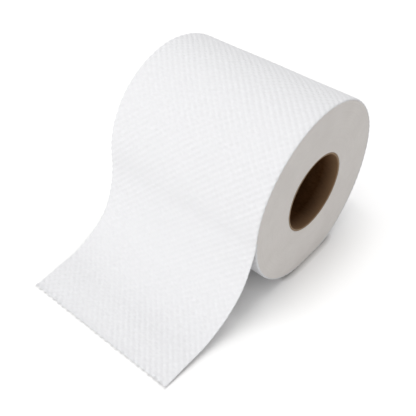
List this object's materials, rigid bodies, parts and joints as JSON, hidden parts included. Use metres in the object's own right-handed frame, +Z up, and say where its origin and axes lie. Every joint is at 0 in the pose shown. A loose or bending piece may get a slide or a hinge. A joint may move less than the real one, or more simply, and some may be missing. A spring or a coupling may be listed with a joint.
{
  "type": "toilet paper roll",
  "caption": "Roll of white embossed toilet paper on a cardboard core, lying on its side with its torn, perforated loose end curving down to the surface.",
  "frame": {"origin": "on the surface that the roll lies on, under the middle of its axis", "axes": "+X along the core's axis, +Z up, and the loose end runs towards -Y"},
  "size_m": [0.1, 0.1642, 0.1033],
  "materials": {
    "tissue": "matt, embossed, very slightly bluish white",
    "core_board": "matt brown board, lighter on its cut edge"
  },
  "bodies": {
    "root": {"toilet_paper": "tissue", "cardboard_core": "core_board"}
  },
  "joints": []
}
